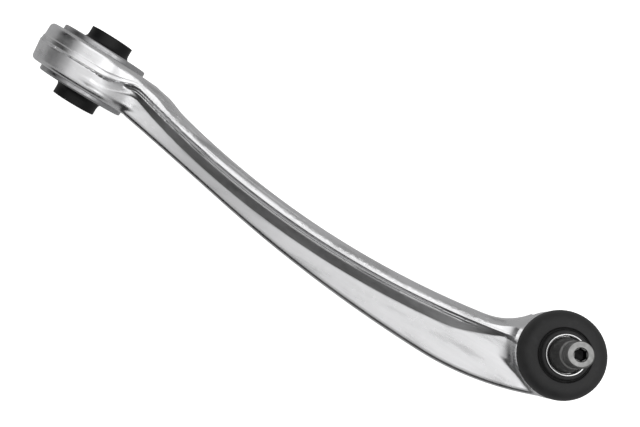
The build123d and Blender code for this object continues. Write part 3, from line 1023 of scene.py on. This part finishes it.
class LINK_OT_ball_joint(Operator):
    """Builds the threaded ball stud, its collar ring and the pressed-in cover of the housing"""

    bl_idname = "link.ball_joint"
    bl_label = "Ball joint"

    def execute(self, context):
        finishes = context.scene.link_finishes
        coated = turned_steel("stud_steel", finishes.stud, 0.42, BALL_PLACE)
        stud = turned_piece("stud", stud_profile(), BALL_PLACE, sides=144)
        stud.data.materials.append(coated)
        cut_thread(stud)
        # painted shade: the inside of the hex socket gets a near-black steel, far darker than the stud, for the shade
        # in the hollow
        socket = [(0, 47.2), (HEX_CORNER, 49.0), (HEX_CORNER, 60), (0, 60)]
        cut(stud, turned_piece("hex", socket, BALL_PLACE, sides=6),
            turned_steel("socket_painted_shade", (0.03, 0.03, 0.03), 0.5, BALL_PLACE))
        mouth = [(0, 55.4), (3.3, 55.4), (3.85, 56.1), (3.85, 58), (0, 58)]
        cut(stud, turned_piece("mouth", mouth, BALL_PLACE, sides=96))
        stud.data.shade_smooth()
        face_the_end(stud, turned_steel("faced_stud_end", finishes.stud_end, 0.45, BALL_PLACE, 0.02))
        attach(sharpen(stud, 38), "stud", "ball_stud")
        ring = turned_piece("collar_ring", collar_ring_profile(), BALL_PLACE, sides=144)
        bright = turned_steel("bright_ring_steel", finishes.bright_steel, 0.2, BALL_PLACE, 0.004)
        dress(ring, bright, "boot_collar", "boot_collar_ring")
        cover = turned_piece("cover_plate", cover_profile(), BALL_PLACE, sides=144)
        pressed = turned_steel("cover_steel", (0.42, 0.42, 0.41), 0.38, BALL_PLACE)
        dress(cover, pressed, "arm", "housing_cover")
        finish_cad_nodes(moulded_plastic("race_acetal", (0.78, 0.77, 0.73), 0.35), "ball_race")
        sealing = moulded_rubber("seal_rubber", (0.02, 0.02, 0.021), 0.5, 0.3)
        finish_cad_nodes(sealing, "race_preload_ring", "cover_seal_ring")
        return {"FINISHED"}


# ---- the dust boot
BOOT_RADIUS = 24.5
BOOT_SEAM = 19.25  # mould joint of the boot, where its two halves meet
COLLAR_RADIUS = 13.2
COLLAR_BORE = 11.18
WIRE_RADIUS = 0.3


def lower_boot_profile():
    return rounded([(21.5, 11.6, 0.2), (23.4, 11.6, 0.4), (23.4, 13.45, 0.25), (24.25, 13.6, 0.35), (24.3, 14.4, 0.5),
                    (23.9, 15.4, 1.0), (24.4, 16.9, 1.0), (BOOT_RADIUS, 18.1, 0.8), (24.3, BOOT_SEAM, 0.12),
                    (22.1, BOOT_SEAM, 0.1), (22.2, 16.6, 0.8), (21.5, 14.9, 0.4)], 0.2)


def upper_boot_profile():
    return rounded([(22.1, BOOT_SEAM, 0.1), (24.3, BOOT_SEAM, 0.12), (23.7, 22.2, 2.5), (21.3, 25.3, 3.0),
                    (17.5, 26.35, 2.0), (14.75, 26.4, 0.4), (14.3, 25.4, 0.3), (13.35, 25.4, 0.3),
                    (COLLAR_RADIUS, 26.5, 0.2), (COLLAR_RADIUS, 28.0, 0.5), (12.5, 28.75, 0.5),
                    (COLLAR_BORE + 0.1, 28.75, 0.3), (COLLAR_BORE, 22.8, 0.3), (13.2, 22.8, 0.4), (14.4, 23.8, 0.6),
                    (19.0, 23.5, 1.5), (21.6, 21.9, 1.5)], 0.2)


def wound_wire(name, radius, height):
    """A clamp ring of two turns of round wire, lying in a groove round the ball axis."""
    turns, steps, sides = 2, 96, 12
    pitch = 2 * WIRE_RADIUS
    points = []
    for i in range(turns * steps + 1):
        turn = i / steps
        angle = 2 * math.pi * turn
        middle = height + pitch * (turn - turns / 2) * 0.98
        for side in range(sides):
            around = 2 * math.pi * side / sides
            r = radius + WIRE_RADIUS * math.cos(around)
            points.append((r * math.cos(angle), r * math.sin(angle), middle + WIRE_RADIUS * math.sin(around)))
    wire = mesh_object(name, points, capped_faces(turns * steps + 1, sides), BALL_PLACE)
    turn_faces_outward(wire)
    return wire


class LINK_OT_boot(Operator):
    """Builds the dust boot in two halves, and the two wire rings that clamp it"""

    bl_idname = "link.boot"
    bl_label = "Dust boot"

    def execute(self, context):
        finishes = context.scene.link_finishes
        rubber = moulded_rubber("boot_rubber", finishes.boot_rubber, 0.52, 0.4)
        halves = (("boot_lower", lower_boot_profile(), "arm", "boot", 13.4, 19.0),
                  ("boot_upper", upper_boot_profile(), "boot", "boot_collar", 19.5, 26.0))
        for name, profile, below, above, start, end in halves:
            half = turned_piece(name, profile, BALL_PLACE, sides=180)
            half.data.materials.append(rubber)
            sharpen(half, 60)
            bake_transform(half)
            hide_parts("dust_boot")
        wire = turned_steel("wire_steel", (0.03, 0.03, 0.03), 0.5, BALL_PLACE)
        for end, radius, height, body in (("lower", 23.7, 12.7, "arm"), ("upper", 13.55, 27.2, "boot_collar")):
            coil = wound_wire(end + "_clamp_wire", radius, height)
            dress(coil, wire, body, f"boot_{end}_ring", 60)
        return {"FINISHED"}


# ---- the stage
STAGE_MIDDLE = Vector((0.16, -0.01, 0))
WHITE = (1, 1, 1)


def pale_floor():
    """The floor's plain matt white, lifted a little by its own light so that shadows stay faint."""
    material, shader, place = start_finish("floor_paper")
    set_inputs(shader, {
        "Base Color": shades(mottle(place, 60), WHITE, (0.3, 0.93), (0.7, 0.95)),
        "Roughness": 1.0,
        "Specular IOR Level": 0.0,
        "Emission Color": (1, 1, 1, 1),
        "Emission Strength": 0.8,
    })
    return material


def floor_bowl(drop):
    """A floor that curves up into a wall all round."""
    flat, bend, wall = 1500, 1500, 1500
    outline = [(flat * i / 6, -drop) for i in range(1, 7)]
    for degrees in range(10, 91, 10):
        angle = math.radians(degrees)
        outline.append((flat + bend * math.sin(angle), -drop + bend * (1 - math.cos(angle))))
    outline.append((flat + bend, -drop + bend + wall))
    sides = 96
    points = [point for radius, height in outline for point in circle(radius, height, sides)]
    faces = [tuple(range(sides))] + [face[::-1] for face in band_faces(len(outline), sides)]
    return mesh_object("floor", points, faces)


def direction(lean_x, lean_y):
    """A unit direction leaning from straight up by so many degrees towards +X and +Y."""
    along, across = math.tan(math.radians(lean_x)), math.tan(math.radians(lean_y))
    return Vector((along, across, 1)).normalized()


def softbox(name, towards, distance, width, height, brightness):
    """A rectangular soft light that faces the link."""
    light = bpy.data.lights.new(name, "AREA")
    light.shape = "RECTANGLE"
    light.size, light.size_y = width, height
    light.energy = brightness * math.pi * width * height
    lamp = add_object(name, light)
    lamp.location = STAGE_MIDDLE + towards * distance
    lamp.rotation_mode = "QUATERNION"
    lamp.rotation_quaternion = towards.to_track_quat("Z", "Y")
    lamp.visible_camera = False


def dark_card(name, towards, distance, width, height):
    """A matt black card beside the stage that gives the metal its dark reflections."""
    signs = ((-1, -1), (1, -1), (1, 1), (-1, 1))
    corners = [(x * width / 2 / MM, y * height / 2 / MM, 0) for x, y in signs]
    facing = towards.to_track_quat("Z", "Y").to_matrix().to_4x4()
    place = Matrix.Translation(STAGE_MIDDLE + towards * distance) @ facing
    card = mesh_object(name, corners, [(0, 1, 2, 3)], place)
    material, shader, where = start_finish(name)
    dark = shades(mottle(where, 80), WHITE, (0.3, 0.01), (0.7, 0.02))
    set_inputs(shader, {"Base Color": dark, "Roughness": 0.9})
    card.data.materials.append(material)
    card.visible_camera = False
    card.visible_shadow = False
    card.visible_diffuse = False


class LINK_OT_stage(Operator):
    """Sets up the floor, the soft studio lights, the dark cards and the camera"""

    bl_idname = "link.stage"
    bl_label = "Stage"

    def execute(self, context):
        settings = context.scene.link_stage
        floor = floor_bowl(settings.floor_drop / MM)
        floor.data.materials.append(pale_floor())
        floor.visible_glossy = False
        floor.visible_diffuse = False
        world = bpy.data.worlds.new("studio")
        world.use_nodes = True
        world.node_tree.nodes["Background"].inputs["Color"].default_value = (0.40, 0.40, 0.40, 1)
        context.scene.world = world
        softbox("overhead", direction(0, -6), 1.0, 1.1, 0.55, 0.58)
        softbox("key", direction(0, 31), 1.0, 1.2, 0.72, 0.95)
        softbox("side", direction(40, 5), 1.0, 0.5, 0.6, 1.3)
        dark_card("low_card", Vector((0, -0.92, 0.39)).normalized(), 0.8, 2.0, 0.72)
        dark_card("end_card", Vector((-0.9, 0.15, 0.45)).normalized(), 0.8, 0.5, 0.5)
        context.scene.view_settings.view_transform = "Standard"
        place_camera(settings)
        return {"FINISHED"}


def place_camera(settings):
    lens = bpy.data.cameras.new("camera")
    lens.lens = settings.lens
    lens.sensor_width = 36
    lens.dof.use_dof = False
    camera = add_object("camera", lens)
    turn = (Matrix.Rotation(-settings.camera_pitch, 4, "X") @ Matrix.Rotation(settings.camera_yaw, 4, "Y")
            @ Matrix.Rotation(settings.camera_roll, 4, "Z"))
    offset = Vector((settings.camera_across, settings.camera_up, settings.camera_distance))
    camera.matrix_world = turn @ Matrix.Translation(offset)
    bpy.context.scene.camera = camera


# ---- panel and running
OPERATORS = (LINK_OT_forging, LINK_OT_bush, LINK_OT_ball_joint, LINK_OT_boot, LINK_OT_stage)


class LINK_PT_panel(Panel):
    """Sizes, finishes and the operators that build the link"""

    bl_idname = "LINK_PT_panel"
    bl_label = "Suspension link"
    bl_space_type = "VIEW_3D"
    bl_region_type = "UI"
    bl_category = "Link"

    def draw(self, context):
        for group in (context.scene.link_forging, context.scene.link_finishes, context.scene.link_stage):
            box = self.layout.box()
            for name in type(group).__annotations__:
                box.prop(group, name)
        for operator in OPERATORS:
            self.layout.operator(operator.bl_idname)


GROUPS = {"link_forging": ForgingSizes, "link_finishes": FinishColours, "link_stage": StageSettings}


def register():
    for cls in (*GROUPS.values(), *OPERATORS, LINK_PT_panel):
        bpy.utils.register_class(cls)
    for name, group in GROUPS.items():
        setattr(bpy.types.Scene, name, PointerProperty(type=group))


def unregister():
    for name in GROUPS:
        delattr(bpy.types.Scene, name)
    for cls in reversed((*GROUPS.values(), *OPERATORS, LINK_PT_panel)):
        bpy.utils.unregister_class(cls)


def main():
    register()
    bpy.ops.link.forging()
    bpy.ops.link.bush()
    bpy.ops.link.ball_joint()
    bpy.ops.link.boot()
    bpy.ops.link.stage()


if __name__ == "__main__":
    main()
